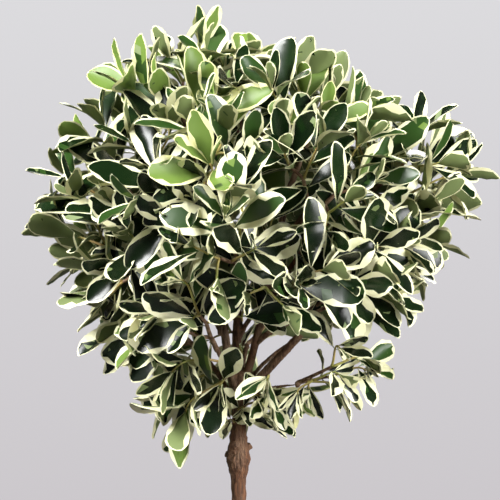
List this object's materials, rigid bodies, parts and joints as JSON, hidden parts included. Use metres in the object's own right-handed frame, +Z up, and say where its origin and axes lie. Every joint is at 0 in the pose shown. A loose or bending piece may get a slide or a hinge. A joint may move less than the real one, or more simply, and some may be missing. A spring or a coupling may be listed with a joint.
{
  "type": "potted standard spindle shrub",
  "caption": "Evergreen spindle trained as a lollipop standard: a round head of cream-edged leaves on a bare stem, in a plain clay pot.",
  "frame": {"origin": "centre of the pot's flat underside, on the ground", "axes": "+Z up along the stem, -Y towards the side the plant is viewed from, +X to that viewer's right"},
  "size_m": [0.4533, 0.4223, 1.1054],
  "materials": {
    "leaves": "satin",
    "bark": "matte",
    "clay": "matte",
    "compost": "matte"
  },
  "bodies": {
    "root": {"pot": "clay", "compost": "compost", "trunk": "bark", "limb_right": "bark", "limb_centre": "bark", "limb_left": "bark", "limb_back": "bark", "bough_lower_left": "bark", "bough_lower_front_left": "bark", "bough_lower_back": "bark", "bough_lower_right": "bark", "bough_low_right_spray": "bark", "bough_middle_left": "bark", "bough_middle_front": "bark", "bough_upper_left": "bark", "bough_upper_front_left": "bark", "bough_upper_front_right": "bark", "bough_upper_right": "bark", "bough_middle_back_right": "bark", "bough_middle_back_left": "bark", "bough_upper_back": "bark", "foliage_top_left": "leaves", "foliage_top_right": "leaves", "foliage_top_back": "leaves", "foliage_upper_front_left": "leaves", "foliage_upper_front_right": "leaves", "foliage_upper_right": "leaves", "foliage_upper_back": "leaves", "foliage_upper_left": "leaves", "foliage_middle_front": "leaves", "foliage_middle_right": "leaves", "foliage_middle_back_right": "leaves", "foliage_middle_back_left": "leaves", "foliage_middle_left": "leaves", "foliage_lower_front_left": "leaves", "foliage_lower_right": "leaves", "foliage_lower_back": "leaves", "foliage_lower_left": "leaves", "foliage_low_right_spray": "leaves"}
  },
  "joints": []
}
